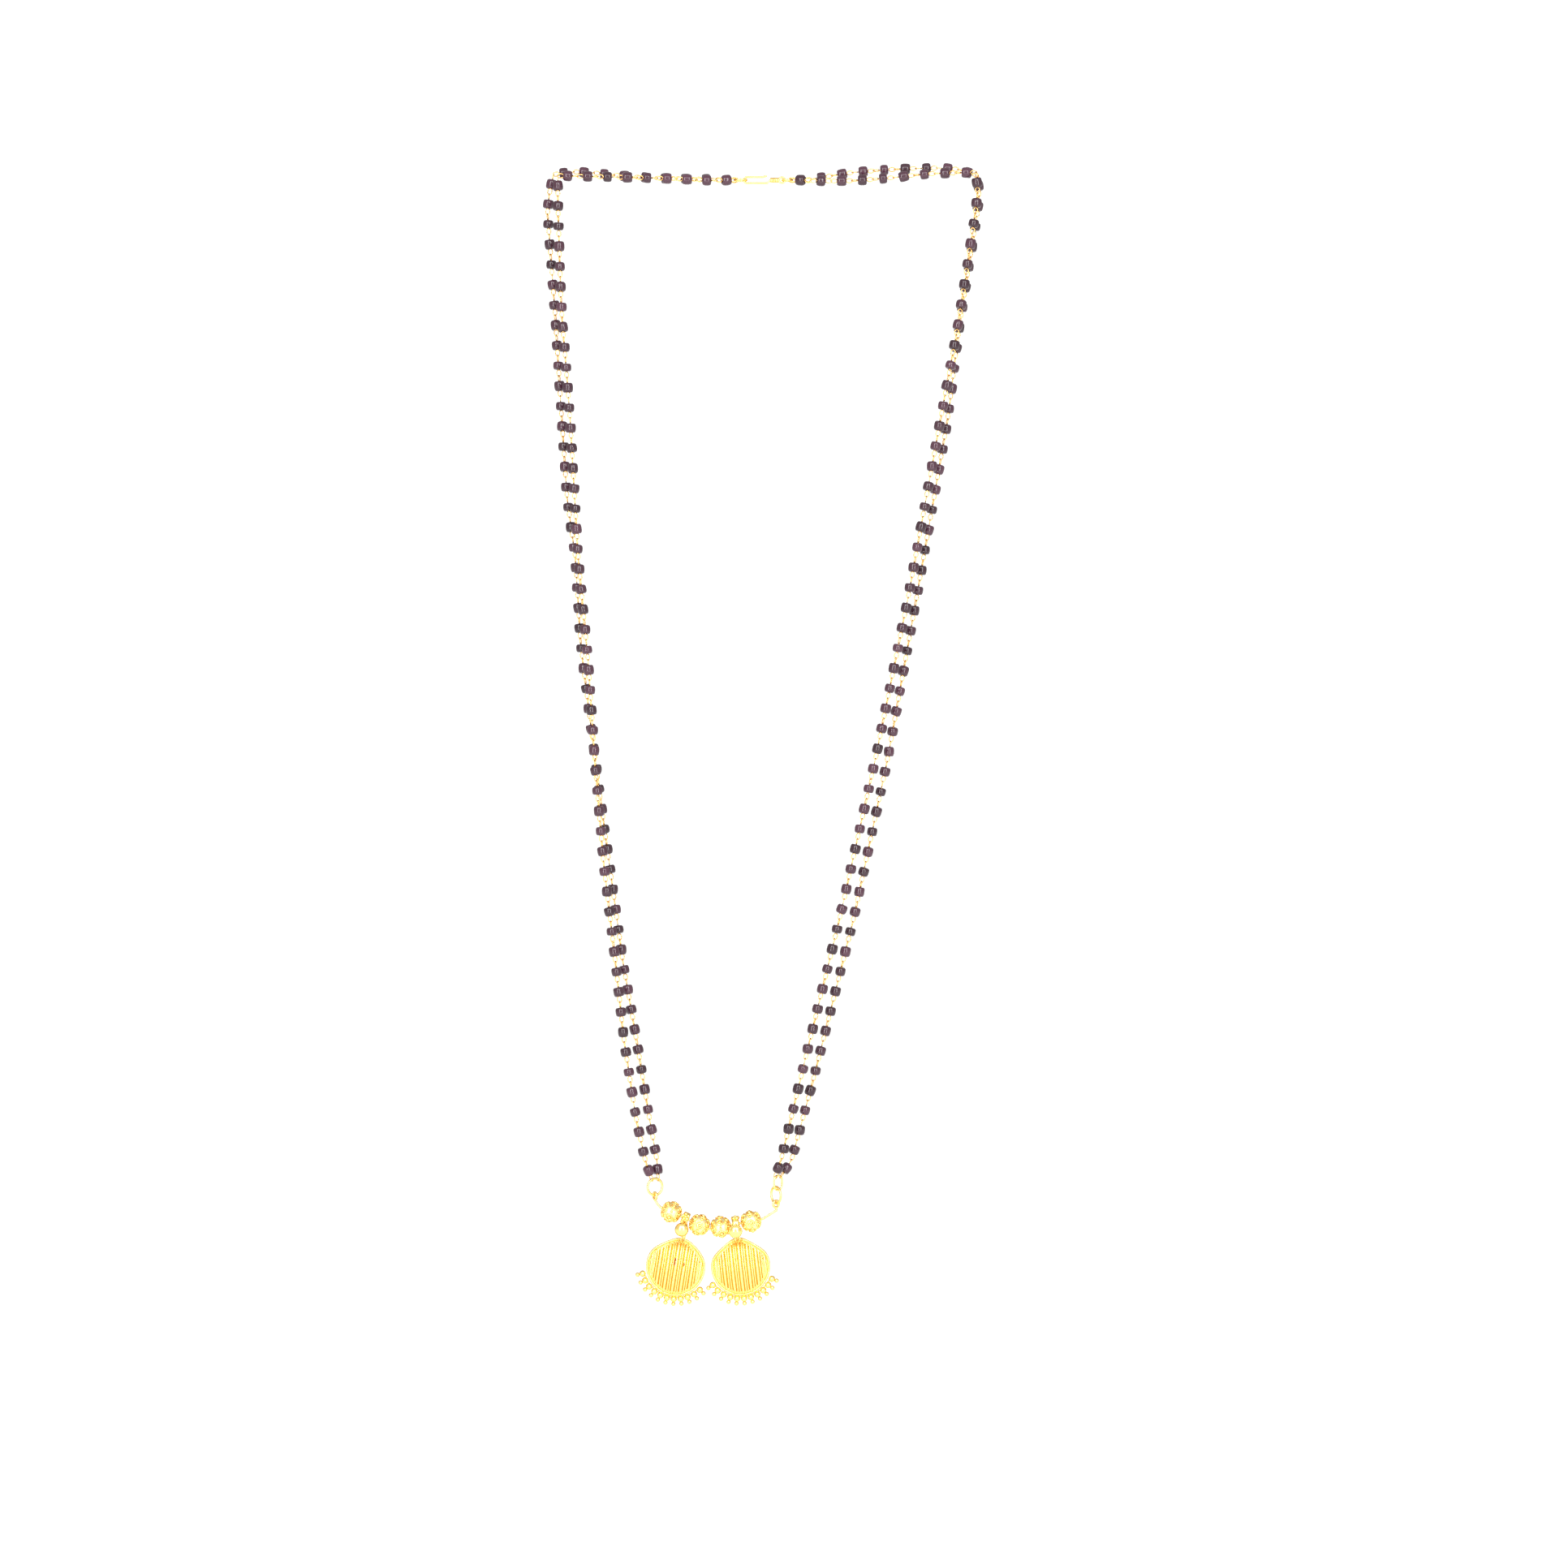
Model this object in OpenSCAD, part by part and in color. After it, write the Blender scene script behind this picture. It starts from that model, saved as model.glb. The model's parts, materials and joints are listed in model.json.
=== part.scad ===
// Long mangalsutra: two strands of black beads, each bead on its own looped gold wire,
// over a short wire with four gold balls and two domed, ribbed teardrop bowls.
// The necklace hangs along Z and faces -Y. The origin is the middle of the clasp at the nape.

/* [Strands] */
// Diameter of a black bead
bead_d = 3.2; // [2.8:0.05:3.3]
// Length of a black bead along its wire
bead_l = 2.7; // [2:0.05:3.2]
// Hole through a black bead
bead_bore = 0.9; // [0.7:0.05:1.2]
// Beads of one strand between the clasp and the corner
top_beads = 9; // [8:1:10]
// Beads of one strand between the corner and its lower ring
side_beads = 50; // [46:1:52]
// Thickness of the wire that links the beads
wire_d = 0.5; // [0.35:0.05:0.6]

/* [Rings] */
// Outside diameter of the round rings that end the strands
ring_d = 5.6; // [5.2:0.1:6]
// Wire thickness of those round rings
ring_wire = 0.7; // [0.5:0.05:0.8]
// Outside width of the oval link at the lower right
link_w = 3.4; // [3.2:0.1:4]
// Outside length of the oval link
link_l = 4.9; // [4.6:0.1:5.6]
// Wire thickness of the oval link
link_wire = 0.6; // [0.4:0.05:0.7]

/* [Clasp] */
// Outside diameter of the ring that the hook goes into
catch_d = 4.1; // [3.8:0.1:4.6]
// Outside diameter of the ring at the hook's own end
keep_d = 3.5; // [3.3:0.1:4]
// Wire thickness of the clasp's rings and hook
clasp_wire = 0.6; // [0.4:0.05:0.65]
// Inside width of the hook's bow
bow_w = 1.2; // [1.1:0.05:1.5]
// Length of the hook's straight return
return_l = 5.6; // [4:0.1:6]
// Diameter of the wound collar on the hook
collar_d = 1.5; // [1.2:0.05:1.8]
// Length of the wound collar
collar_l = 2.6; // [2:0.1:3]

/* [Balls] */
// Diameter of a gold ball
ball_d = 6.2; // [5.6:0.1:6.4]
// Hole through a gold ball
ball_bore = 1; // [0.8:0.05:1.4]
// Thickness of the wire that carries the balls
carry_d = 0.7; // [0.5:0.05:0.75]
// Diameter of the small raised rings on a ball
swirl_d = 2.1; // [1.6:0.1:2.4]
// Wire thickness of those raised rings
swirl_wire = 0.4; // [0.3:0.05:0.5]
// Diameter of the grains on a ball
grain_d = 0.7; // [0.5:0.05:0.9]
// Clear gap between the two middle balls
ball_gap = 0.15; // [0.1:0.05:0.4]

/* [Bowls] */
// Width of a bowl over its round part
bowl_d = 17.3; // [15:0.1:19]
// Height of the dome over its rim
bowl_rise = 3.4; // [2.6:0.1:4]
// Wall of the dome
bowl_wall = 0.7; // [0.5:0.05:1]
// Thickness of the rim wire
rim_d = 0.9; // [0.7:0.05:1.2]
// Distance over which the pattern of ribs repeats
rib_pitch = 2.4; // [2.2:0.05:3]
// Width of a broad rib
rib_broad = 0.9; // [0.7:0.05:1]
// Width of a fine rib
rib_fine = 0.6; // [0.4:0.05:0.65]
// Diameter of the round boss at the neck
boss_d = 3.9; // [3.4:0.1:4.1]
// Thickness of the boss
boss_t = 1.1; // [0.8:0.1:1.4]
// Outside diameter of the bail
bail_d = 3.7; // [3.4:0.1:4]
// Hole through the bail
bail_bore = 1.8; // [1.6:0.05:2]
// Width of the bail along the wire
bail_w = 2; // [1.6:0.1:2.2]
// Clear gap between the bail and a ball beside it
bail_gap = 0.45; // [0.35:0.05:0.8]
// Diameter of the large grains of the fringe
drop_d = 1.9; // [1.7:0.05:1.95]
// Diameter of the small grains of the fringe
tip_d = 1.3; // [1.1:0.05:1.5]
// Large grains along the fringe
drops = 11; // [9:1:11]

/* [Hidden] */
$fn = 48;
black = "#2a2028";
gold = "#e8b040";
touch = 0.1; // running gap between linked wires

// Sizes of the beads in their order along a strand, as shares of bead_l and of bead_d
bead_mix = [[1, 1], [0.92, 1], [1.04, 0.97], [0.96, 1], [0.84, 0.98], [1.06, 1], [0.9, 0.95]];
// Outline of a bead from the face round its hole to its broadest part, as shares of its radius and half length
bead_outline = [[0.74, 1], [0.93, 0.8], [1, 0.35]];

// Places of the rings, chosen to the photograph: middle, then turn about Z
ring_left_at = [-32.4, 0, -297.7];
ring_left_turn = 30;
link_right_at = [4, 0, -296.5];
link_right_turn = 35;
ring_right_turn = -55;
catch_at = [-7.1, 0, 0];
keep_at = [6.75, 0, 0];

// Rings and links: radius of the wire's middle line
ring_r = (ring_d - ring_wire) / 2;
link_r = (link_w - link_wire) / 2;
link_half = (link_l - link_w) / 2;
catch_r = (catch_d - clasp_wire) / 2;
keep_r = (keep_d - clasp_wire) / 2;
link_foot = link_right_at - [0, 0, link_half + link_r];
ring_right_at = link_foot + [-0.6, 0.4, link_wire / 2 + 3 * touch + ring_wire / 2 - ring_r];

// Points on a standing ring: angle from +X towards +Z in the ring's own plane
function on_ring(at, r, turn, angle) =
    at + [r * cos(angle) * cos(turn), r * cos(angle) * sin(turn), r * sin(angle)];
function along_ring(turn, angle) =
    [-sin(angle) * cos(turn), -sin(angle) * sin(turn), cos(angle)];
// Points on a lying ring: angle from +X towards +Y
function on_flat(at, r, angle) = at + [r * cos(angle), r * sin(angle), 0];
function along_flat(angle) = [-sin(angle), cos(angle), 0];

// Where each strand's end loop sits on its two rings, with the ring's direction there
catch_angle = 44;
keep_angle = 52;
left_angle = 26;
right_angle = 45;
link_top = link_right_at + [0, 0, link_half];
left_front_ends = [
    [on_flat(catch_at, catch_r, 180 + catch_angle), along_flat(180 + catch_angle)],
    [on_ring(ring_left_at, ring_r, ring_left_turn, 90 + left_angle),
        along_ring(ring_left_turn, 90 + left_angle)]
];
left_back_ends = [
    [on_flat(catch_at, catch_r, 180 - catch_angle), along_flat(180 - catch_angle)],
    [on_ring(ring_left_at, ring_r, ring_left_turn, 90 - left_angle),
        along_ring(ring_left_turn, 90 - left_angle)]
];
right_front_ends = [
    [on_flat(keep_at, keep_r, -keep_angle), along_flat(-keep_angle)],
    [on_ring(link_top, link_r, link_right_turn, 90 + right_angle),
        along_ring(link_right_turn, 90 + right_angle)]
];
right_back_ends = [
    [on_flat(keep_at, keep_r, keep_angle), along_flat(keep_angle)],
    [on_ring(link_top, link_r, link_right_turn, 90 - right_angle),
        along_ring(link_right_turn, 90 - right_angle)]
];

// Routes of the strands between their end loops, chosen to the photograph.
// The first list of each runs from the clasp to the corner, the second down the side.
left_front_top = [[-15, -2.5, -0.6], [-28, -2, 0.2], [-44, -2, 0.6], [-61, -2, 1]];
left_front_side = [
    [-61, -2, -8], [-60, -2, -38], [-57.5, -2, -69], [-55, -2, -112], [-52, -2, -143],
    [-50, -2, -173], [-47.5, -2, -202], [-44, -2, -231], [-41.5, -2, -254],
    [-38, -1.8, -277], [-34.8, -1.8, -291.5]
];
left_back_top = [[-15, 2.5, 0.6], [-35, 2, 1], [-47, 2, 2], [-55, 2, 3], [-62.5, 2, 2]];
left_back_side = [
    [-64.5, 2, -7], [-63.5, 2, -20], [-62, 2, -40], [-60.5, 2, -64], [-58.5, 2, -94],
    [-56, 2, -112], [-54.5, 2, -137], [-51.5, 2, -161], [-48.5, 2, -184], [-46, 2, -202],
    [-42, 2, -231], [-38, 2, -254], [-34.2, 1.8, -277], [-31.6, 1.8, -291.5]
];
right_front_top = [[14, -2.5, -0.6], [24, -2, -0.6], [36, -2, 0.2], [48, -2, 1.6], [62.5, -2, 2]];
right_front_side = [
    [63, -2, -5], [61, -2, -18], [57, -2, -44], [52.5, -2, -68], [42.5, -2, -123],
    [33, -2, -170], [22.5, -2, -217], [11.5, -2, -262], [4.8, -2, -290]
];
right_back_top = [[14, 2.5, 0.6], [24, 2, 2.4], [36, 2, 3.4], [50, 2, 4], [59, 2, 3.4], [63.2, 2, 1.6]];
right_back_side = [
    [63.6, 2, -6], [61.5, 2, -19], [57.5, 2, -44], [54.5, 2, -69], [45, 2, -123.5],
    [36.5, 2, -171], [26.5, 2, -218], [15, 2, -264], [8, 2, -290]
];

// Joints of a strand: equal steps along a polyline
function run(p) = [for (i = 0, s = 0; i < len(p);
    s = s + (i < len(p) - 1 ? norm(p[i + 1] - p[i]) : 0), i = i + 1) s];
function piece_at(r, s) = max([for (k = [0 : len(r) - 2]) if (r[k] <= s + 0.0001) k]);
function point_at(p, r, s) = let (k = piece_at(r, s))
    p[k] + (p[k + 1] - p[k]) * (s - r[k]) / (r[k + 1] - r[k]);
function steps(p, n) = let (r = run(p)) [for (i = [0 : n]) point_at(p, r, i * r[len(p) - 1] / n)];
function tail(p) = [for (i = [1 : len(p) - 1]) p[i]];
function strand(top, side, ends) = concat(
    steps(concat([ends[0][0]], top), top_beads),
    tail(steps(concat([top[len(top) - 1]], side, [ends[1][0]]), side_beads))
);
left_front = strand(left_front_top, left_front_side, left_front_ends);
left_back = strand(left_back_top, left_back_side, left_back_ends);
right_front = strand(right_front_top, right_front_side, right_front_ends);
right_back = strand(right_back_top, right_back_side, right_back_ends);

function unit(v) = v / norm(v);
function middle(a, b) = (a + b) / 2;

// End loop of a strand's wire round a ring: at is the ring wire's middle, from the last joint,
// along the ring's direction, round the given thickness. The wire is straight up to the lead point.
lead = 1.25;
loop_gap = 1.3 * touch; // more than the running gap, because the loop's straight runs cut its corners
function hook_loop(at, from, along, thick) = let (
    n = unit(cross(at - from, along)),
    d = unit(cross(along, n)),
    r = (thick + wire_d) / 2 + loop_gap
) [
    at + lead * unit(from - at),
    at - r * d + 0.8 * r * n,
    for (a = [0 : 45 : 180]) at + r * cos(a) * n + r * sin(a) * d,
    at - 0.9 * r * n - 0.5 * r * d
];
function reversed(p) = [for (i = [len(p) - 1 : -1 : 0]) p[i]];
function wire_route(joints, ends, first, last) = let (n = len(joints)) concat(
    reversed(hook_loop(ends[0][0], joints[1], ends[0][1], first)),
    [for (i = [1 : n - 2]) joints[i]],
    hook_loop(ends[1][0], joints[n - 2], ends[1][1], last)
);

// Round tube along a route, as one closed solid
tube_sides = 8;
function heading(p, i) = unit(
    unit(p[min(i + 1, len(p) - 1)] - p[min(i, len(p) - 2)]) + unit(p[max(i, 1)] - p[max(i - 1, 0)])
);
function side_axis(p, i, last) = let (t = heading(p, i), v = last - (last * t) * t) unit(v);
function side_axes(p) = [for (i = 0, v = side_axis(p, 0, [0, 1, 0.01]); i < len(p);
    i = i + 1, v = i < len(p) ? side_axis(p, i, v) : v) v];
function tube_points(p, r) = let (axes = side_axes(p)) [
    for (i = [0 : len(p) - 1]) let (u = axes[i], w = cross(heading(p, i), u))
        for (k = [0 : tube_sides - 1]) p[i] + r * cos(k * 360 / tube_sides) * u
            + r * sin(k * 360 / tube_sides) * w
];
function tube_faces(n) = concat(
    [[for (k = [0 : tube_sides - 1]) k]],
    [for (i = [0 : n - 2], k = [0 : tube_sides - 1]) let (a = i * tube_sides, b = (k + 1) % tube_sides)
        [a + k, a + tube_sides + k, a + tube_sides + b, a + b]],
    [[for (k = [tube_sides - 1 : -1 : 0]) (n - 1) * tube_sides + k]]
);
module tube(route, d) {
    polyhedron(points = tube_points(route, d / 2), faces = tube_faces(len(route)));
}

// One drilled bead, its hole along Z: a short barrel with sloping shoulders
module bead(long, wide) {
    half = [for (p = concat([[bead_bore / wide, 1]], bead_outline)) [p[0] * wide / 2, p[1] * long / 2]];
    rotate_extrude() polygon(concat(half, [for (p = reversed(half)) [p[0], -p[1]]]));
}

// Puts a child whose axis is Z at a point and turns that axis along a direction
module aim(at, along) {
    translate(at)
        rotate([0, acos(along[2] / norm(along)), atan2(along[1], along[0])])
            children();
}

module beads(joints) {
    color(black)
        for (i = [0 : len(joints) - 2]) {
            mix = bead_mix[i % len(bead_mix)];
            aim(middle(joints[i], joints[i + 1]), joints[i + 1] - joints[i])
                bead(bead_l * mix[0], bead_d * mix[1]);
        }
}

// A ring lying in the XY plane
module hoop(r, wire) {
    rotate_extrude() translate([r, 0]) circle(d = wire);
}

// A ring standing up and turned about Z
module standing_ring(at, r, wire, turn) {
    color(gold) translate(at) rotate([90, 0, turn]) hoop(r, wire);
}

module oval_link() {
    color(gold) translate(link_right_at) rotate([90, 0, link_right_turn]) {
        for (end = [0, 1]) mirror([0, end, 0]) {
            translate([0, link_half, 0]) rotate_extrude(angle = 180) translate([link_r, 0])
                circle(d = link_wire);
        }
        for (side = [-1, 1]) translate([side * link_r, 0, 0]) rotate([90, 0, 0])
            cylinder(d = link_wire, h = 2 * link_half, center = true);
    }
}

// Wire through a list of points, with round bends that swell a little
bend_swell = 1.05;
module bent_wire(points, d) {
    for (i = [0 : len(points) - 2])
        aim(points[i], points[i + 1] - points[i])
            cylinder(d = d, h = norm(points[i + 1] - points[i]));
    for (point = points) translate(point) sphere(d = d * bend_swell);
}

// The hook lies in the XZ plane. Its bow goes into the catch ring and its eye holds the keep ring.
bow_r = (bow_w + clasp_wire) / 2;
bow_at = catch_at + [catch_r - clasp_wire / 2 - touch + bow_w / 2, 0, 0];
eye_r = clasp_wire + touch / 2 + 0.2;
eye_at = keep_at - [keep_r - clasp_wire / 2 - touch + eye_r - clasp_wire / 2, 0, 0];
collar_end = eye_at[0] - eye_r;
module clasp_hook() {
    color(gold) {
        translate(bow_at) rotate([90, 90, 0]) mirror([0, 1, 0]) rotate_extrude(angle = 180)
            translate([bow_r, 0]) circle(d = clasp_wire);
        bent_wire([
            bow_at + [0, 0, bow_r], bow_at + [return_l - 1, 0, bow_r],
            bow_at + [return_l, 0, bow_r + clasp_wire / 2]
        ], clasp_wire);
        bent_wire([
            bow_at - [0, 0, bow_r],
            [collar_end - collar_l - bow_r, 0, bow_at[2] - bow_r],
            [collar_end - collar_l, 0, bow_at[2]],
            [collar_end, 0, bow_at[2]]
        ], clasp_wire);
        for (turn = [0 : 4]) translate([collar_end - (turn + 0.5) * collar_l / 5, 0, 0])
            rotate([0, 90, 0]) hoop(collar_d / 2 - collar_l / 10, collar_l / 5 + 0.06);
        translate([collar_end - collar_l, 0, 0]) rotate([0, 90, 0])
            cylinder(d = collar_d - collar_l / 5, h = collar_l);
        translate(eye_at) rotate([90, 0, 0]) hoop(eye_r, clasp_wire);
    }
}

// The carrying wire is straight through two balls and the bail between them, on each side of its bend
slope_left = -24;
slope_right = 11;
balls_middle = [-16.2, 0, -310.2];
function sloped(slope, long) = [long * cos(slope), 0, long * sin(slope)];
pair_half = (ball_d + ball_gap) / 2 / cos((slope_right - slope_left) / 2);
ball_step = ball_d + bail_w + 2 * bail_gap;
ball_2_at = balls_middle - sloped(slope_left, pair_half);
ball_3_at = balls_middle + sloped(slope_right, pair_half);
ball_1_at = ball_2_at - sloped(slope_left, ball_step);
ball_4_at = ball_3_at + sloped(slope_right, ball_step);
pivot_left = middle(ball_1_at, ball_2_at);
pivot_right = middle(ball_3_at, ball_4_at);

// Ends of the carrying wire: an eye round the foot of each ring
foot_r = (ring_wire + carry_d) / 2 + 0.3;
left_eye = ring_left_at - [0, 0, ring_r - ring_wire / 2 - touch + foot_r - carry_d / 2];
right_eye = ring_right_at - [0, 0, ring_r - ring_wire / 2 - touch + foot_r - carry_d / 2];
eye_stem = foot_r + 0.15;
module carry_wire() {
    color(gold) {
        bent_wire([
            left_eye - [0, 0, eye_stem],
            left_eye + [0.7, 0, -foot_r - 1.4],
            ball_1_at - sloped(slope_left, ball_d / 2 + 0.5),
            balls_middle,
            ball_4_at + sloped(slope_right, ball_d / 2 + 0.5),
            right_eye + [0.1, 0, -foot_r - 0.9],
            right_eye - [0, 0, eye_stem]
        ], carry_d);
        translate(left_eye) rotate([90, 0, ring_left_turn + 90]) hoop(foot_r, carry_d);
        translate(right_eye) rotate([90, 0, ring_right_turn + 90]) hoop(foot_r, carry_d);
    }
}

// A ball on the wire: raised rings with a grain in each, and grains between them
swirls = 5;
body_r = (ball_d - swirl_wire) / 2;
swirl_r = (swirl_d - swirl_wire) / 2;
grain_tip = 34;
// Turn of the body that puts its seam in the bare strip between a raised ring and the next grain
body_turn = (asin(swirl_d / 2 / body_r) + 180 / swirls - asin(grain_d / 2 / body_r) / cos(grain_tip)) / 2;
module ball_grain() {
    translate([body_r, 0, 0]) rotate([0, 90, 0]) sphere(d = grain_d);
}
module ball(at, slope, spin) {
    color(gold) translate(at) rotate([0, 90 - slope, 0]) rotate([0, 0, spin]) difference() {
        union() {
            rotate([0, 0, body_turn]) sphere(r = body_r);
            for (i = [0 : swirls - 1]) rotate([0, 0, i * 360 / swirls]) {
                translate([sqrt(body_r * body_r - swirl_r * swirl_r), 0, 0]) rotate([0, 90, 0])
                    hoop(swirl_r, swirl_wire);
                ball_grain();
                for (tip = [-1, 1]) rotate([0, tip * grain_tip, 180 / swirls]) ball_grain();
            }
        }
        cylinder(d = ball_bore, h = 2 * ball_d, center = true);
    }
}

// Bowls. Table columns: pivot, slope of the wire there, tilt of the bowl, its tip below the pivot,
// its middle beside the pivot, its tip beside its middle, the boss beside the neck, the boss above
// the tip, turn of the bail's lump up from the front, turn of the fringe
bowl_r = bowl_d / 2;
bowl_left = [pivot_left, slope_left, 9, 5.8, -0.8, 0.9, -0.6, 2.35, 22, -7];
bowl_right = [pivot_right, slope_right, -6.5, 3.4, -0.1, 0, -0.2, 1.7, 70, -1];
dome_r = (bowl_r * bowl_r + bowl_rise * bowl_rise) / (2 * bowl_rise);
dome_low = dome_r - bowl_rise;
bowl_back = 1.48; // the bowl's open back lies this far behind the wire, so that it hangs plumb
shoulder_angle = 30;
tip_z = 0.985 * bowl_r;
tip_half = 0.2 * bowl_r;
rib_step = rib_pitch * 0.35;
rib_edge = bowl_r - 1.3 * rim_d;

function tip_point(side, lean) = [side * tip_half + lean, tip_z];
function shoulder_point(side) = [side * bowl_r * cos(shoulder_angle), bowl_r * sin(shoulder_angle)];

// Outline of a bowl seen from the front
module outline(lean) {
    intersection() {
        circle(r = bowl_r - rim_d * 0.2, $fn = 96);
        polygon([
            [-2 * bowl_r, -2 * bowl_r], [2 * bowl_r, -2 * bowl_r],
            [2 * bowl_r, bowl_r * sin(shoulder_angle)],
            shoulder_point(1), tip_point(1, lean), tip_point(-1, lean), shoulder_point(-1),
            [-2 * bowl_r, bowl_r * sin(shoulder_angle)]
        ]);
    }
}

// Section of the dome with its ribs, to be turned about the axis that lies behind it
module rib_section() {
    intersection() {
        union() {
            difference() {
                circle(r = dome_r, $fn = 96);
                circle(r = dome_r - bowl_wall, $fn = 96);
            }
            for (i = [-4 : 4]) {
                for (rib = [[0, rib_broad], [rib_step, rib_fine], [rib_pitch - rib_step, rib_fine]]) {
                    x = i * rib_pitch + rib[0];
                    if (abs(x) < rib_edge)
                        translate([sqrt(dome_r * dome_r - x * x), x]) circle(d = rib[1], $fn = 24);
                }
            }
        }
        translate([dome_low * 0.8, -bowl_r]) square([dome_r, 2 * bowl_r]);
    }
}

// A bowl in its own frame: middle of the round part at the origin, open back in the plane y = 0
module bowl(lean, fringe_turn) {
    sweep = 2 * asin(bowl_r / (dome_r - bowl_wall)) + 6;
    intersection() {
        translate([0, dome_low, 0]) rotate([-90, 0, -90]) rotate([0, 0, -sweep / 2])
            rotate_extrude(angle = sweep, $fn = 96) rib_section();
        rotate([90, 0, 0]) linear_extrude(bowl_rise + 2) outline(lean);
    }
    rim_at = [0, -rim_d * 0.42, 0];
    translate(rim_at) rotate([90, 0, 0]) rotate([0, 0, 180 - shoulder_angle])
        rotate_extrude(angle = 180 + 2 * shoulder_angle, $fn = 96)
            translate([bowl_r - rim_d * 0.3, 0]) circle(d = rim_d, $fn = 24);
    for (side = [-1, 1]) {
        low = shoulder_point(side) * (1 - rim_d * 0.3 / bowl_r);
        high = tip_point(side, lean);
        translate(rim_at) bent_wire([[low[0], 0, low[1]], [high[0], 0, high[1]]], rim_d);
    }
    fringe(fringe_turn);
}

// Fringe of grains: a row of large ones on the rim, a small one under each, and fillers between
fringe_span = 11.9;
drop_ring = bowl_r + rim_d * 0.2 + drop_d * 0.42;
tip_ring = drop_ring + (drop_d + tip_d) * 0.46;
filler_ring = bowl_r + rim_d * 0.45;
module grain(angle, ring, d) {
    rotate([0, -angle, 0]) translate([0, -rim_d / 2, -ring]) rotate([90, 0, 0]) sphere(d = d);
}
module fringe(turn) {
    for (i = [0 : drops - 1]) {
        angle = turn + (i - (drops - 1) / 2) * fringe_span;
        grain(angle, drop_ring, drop_d);
        grain(angle, tip_ring, tip_d);
        if (i > 0) grain(angle - fringe_span / 2, filler_ring, rim_d * 0.8);
    }
}

// A pendant round its pivot on the wire: bail with a lump on it, neck, boss and bowl, soldered together
neck_w = 1.4;
lump_d = 1.9;
boss_ahead = 2.5; // the boss's back lies this far in front of the wire, clear of the balls
module pendant(row) {
    tip_drop = -row[3];
    boss_at = [row[6], -boss_ahead, tip_drop + row[7]];
    color(gold) translate(row[0]) {
        difference() {
            union() {
                rotate([0, -row[1], 0]) rotate([0, 90, 0]) cylinder(d = bail_d, h = bail_w, center = true);
                rotate([0, row[2], 0]) {
                    rotate([-row[8], 0, 0]) translate([0, -bail_d * 0.48, 0]) sphere(d = lump_d);
                    translate([row[4] + row[5], 0, 0]) neck(tip_drop);
                    translate(boss_at) rotate([90, 0, 0]) boss();
                    translate([boss_at[0] / 2, -boss_ahead / 2, boss_at[2]]) rotate([90, 0, 0])
                        cylinder(d = boss_d * 0.42, h = boss_ahead + 0.6, center = true);
                }
            }
            rotate([0, -row[1], 0]) rotate([0, 90, 0])
                cylinder(d = bail_bore, h = bail_d * 2, center = true);
        }
        rotate([0, row[2], 0]) translate([row[4], bowl_back, tip_drop - tip_z]) bowl(row[5], row[9]);
    }
}

// Strap from the bail down to the tip of the bowl, drawn from the side
module neck(tip_drop) {
    rotate([90, 0, 90]) linear_extrude(neck_w, center = true) polygon([
        [-bail_d * 0.2, -bail_d * 0.42], [bail_d * 0.2, -bail_d * 0.42],
        [bowl_back - 0.15, tip_drop + 0.4], [bowl_back - 0.15, tip_drop - 0.9],
        [bowl_back - 1.2, tip_drop - 0.9]
    ]);
}

// Round boss with a low dome, its back at z = 0
module boss() {
    cap_r = (boss_d * boss_d / 4 + boss_t * boss_t) / (2 * boss_t);
    intersection() {
        translate([0, 0, boss_t - cap_r]) sphere(r = cap_r);
        cylinder(d = boss_d, h = boss_t);
    }
}

module beads_left_front() { beads(left_front); }
module beads_left_back() { beads(left_back); }
module beads_right_front() { beads(right_front); }
module beads_right_back() { beads(right_back); }
module wire_left_front() {
    color(gold) tube(wire_route(left_front, left_front_ends, clasp_wire, ring_wire), wire_d);
}
module wire_left_back() {
    color(gold) tube(wire_route(left_back, left_back_ends, clasp_wire, ring_wire), wire_d);
}
module wire_right_front() {
    color(gold) tube(wire_route(right_front, right_front_ends, clasp_wire, link_wire), wire_d);
}
module wire_right_back() {
    color(gold) tube(wire_route(right_back, right_back_ends, clasp_wire, link_wire), wire_d);
}
module ring_left() { standing_ring(ring_left_at, ring_r, ring_wire, ring_left_turn); }
module ring_right() { standing_ring(ring_right_at, ring_r, ring_wire, ring_right_turn); }
module link_right() { oval_link(); }
module ring_catch() { color(gold) translate(catch_at) hoop(catch_r, clasp_wire); }
module ring_keep() { color(gold) translate(keep_at) hoop(keep_r, clasp_wire); }
module ball_1() { ball(ball_1_at, slope_left, 10); }
module ball_2() { ball(ball_2_at, slope_left, 50); }
module ball_3() { ball(ball_3_at, slope_right, 20); }
module ball_4() { ball(ball_4_at, slope_right, -15); }
module pendant_left() { pendant(bowl_left); }
module pendant_right() { pendant(bowl_right); }

beads_left_front();
beads_left_back();
beads_right_front();
beads_right_back();
wire_left_front();
wire_left_back();
wire_right_front();
wire_right_back();
ring_left();
link_right();
ring_right();
ring_catch();
ring_keep();
clasp_hook();
ball_1();
ball_2();
ball_3();
ball_4();
carry_wire();
pendant_left();
pendant_right();
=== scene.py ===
import json
import math

import bmesh
import bpy
from mathutils import Matrix, Vector


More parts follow.
